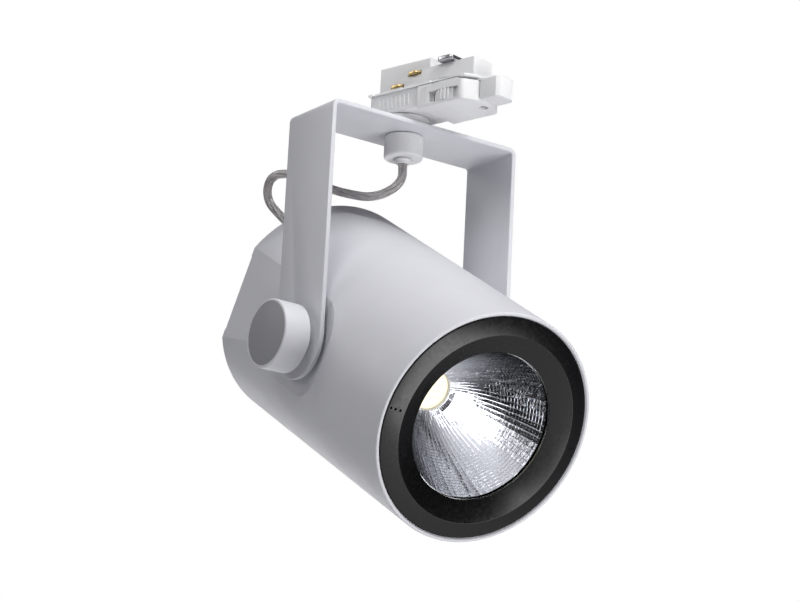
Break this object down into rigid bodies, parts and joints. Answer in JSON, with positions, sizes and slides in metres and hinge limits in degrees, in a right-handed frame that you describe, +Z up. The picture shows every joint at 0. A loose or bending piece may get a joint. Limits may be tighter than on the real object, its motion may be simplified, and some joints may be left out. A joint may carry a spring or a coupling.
{
  "type": "track spotlight",
  "caption": "Adjustable spotlight: a round white head with a black bezel and faceted reflector tilts in a U yoke that pans under a track adapter.",
  "frame": {"origin": "top face of the adapter's insert on the pan axis, where it meets the roof of the track's channel", "axes": "+Z up into the track, X along the head's tilt axis, -Y the side the head looks to"},
  "size_m": [0.188, 0.2515, 0.3135],
  "materials": {
    "powder_white": "fine-texture white powder coat, satin",
    "plastic_white": "white moulded plastic, semi-matt",
    "satin_black": "satin black painted ring",
    "bright_reflector": "bright metallised facets",
    "cast_aluminium": "plain cast aluminium",
    "zinc_steel": "zinc-plated steel",
    "brass": "stamped brass",
    "led_phosphor": "pale yellow phosphor gel",
    "led_ceramic": "white ceramic and white moulded plastic",
    "grey_plastic": "grey moulded plastic",
    "clear_sheath": "clear flexible sheath over tinned wires",
    "friction_nylon": "grey nylon"
  },
  "bodies": {
    "adapter": {"adapter_body": "plastic_white", "adapter_cover": "plastic_white", "cover_screw": "zinc_steel", "track_insert": "plastic_white", "phase_contact_1": "brass", "phase_contact_2": "brass", "phase_contact_3": "brass", "neutral_contact": "brass", "earth_contact": "brass", "terminal_block": "grey_plastic", "swivel_collar": "plastic_white"},
    "lever": {"lock_lever": "plastic_white", "track_latch": "zinc_steel"},
    "wheel": {"circuit_wheel": "plastic_white"},
    "bracket": {"yoke": "powder_white", "swivel_nipple": "zinc_steel", "swivel_nut": "zinc_steel", "gland_body": "plastic_white", "gland_collar": "plastic_white", "left_friction_washer": "friction_nylon", "right_friction_washer": "friction_nylon", "left_knob_spacer": "plastic_white", "right_knob_spacer": "plastic_white", "supply_lead": "clear_sheath"},
    "left_clamp": {"left_knob": "plastic_white", "left_stud": "zinc_steel"},
    "right_clamp": {"right_knob": "plastic_white", "right_stud": "zinc_steel"},
    "head": {"housing_shell": "powder_white", "left_pivot_boss": "cast_aluminium", "right_pivot_boss": "cast_aluminium", "rear_cover": "powder_white", "rear_screw_a": "zinc_steel", "rear_screw_b": "zinc_steel", "rear_screw_c": "zinc_steel", "rear_gland": "plastic_white", "driver_case": "grey_plastic", "heat_sink": "cast_aluminium", "led_board": "led_ceramic", "led_emitter": "led_phosphor", "led_holder": "led_ceramic", "reflector": "bright_reflector", "bayonet_base": "satin_black"},
    "bezel": {"front_ring": "satin_black"}
  },
  "joints": [
    {"name": "pan", "type": "hinge", "parent": "adapter", "child": "bracket", "pos_m": [0, 0, -0.045], "axis": [0, 0, 1], "range_deg": [-175, 175]},
    {"name": "tilt", "type": "hinge", "parent": "bracket", "child": "head", "pos_m": [0, 0, -0.193], "axis": [1, 0, 0], "range_deg": [-31, 59], "deforming": ["supply_lead"]},
    {"name": "lever_swing", "type": "hinge", "parent": "adapter", "child": "lever", "pos_m": [0.00966, -0.04026, -0.0224], "axis": [0, 0, 1], "range_deg": [0, 90]},
    {"name": "circuit_select", "type": "hinge", "parent": "adapter", "child": "wheel", "pos_m": [0.00597, -0.04587, -0.031], "axis": [0, 0, 1], "range_deg": [-120, 120]},
    {"name": "left_knob_turn", "type": "hinge", "parent": "bracket", "child": "left_clamp", "pos_m": [-0.085, 0, -0.193], "axis": [1, 0, 0], "range_deg": [-180, 360]},
    {"name": "right_knob_turn", "type": "hinge", "parent": "bracket", "child": "right_clamp", "pos_m": [0.085, 0, -0.193], "axis": [1, 0, 0], "range_deg": [-360, 180]},
    {"name": "ring_twist", "type": "hinge", "parent": "head", "child": "bezel", "pos_m": [0, -0.09257, -0.24862], "axis": [0, -0.8572, -0.515], "range_deg": [0, 15]}
  ]
}
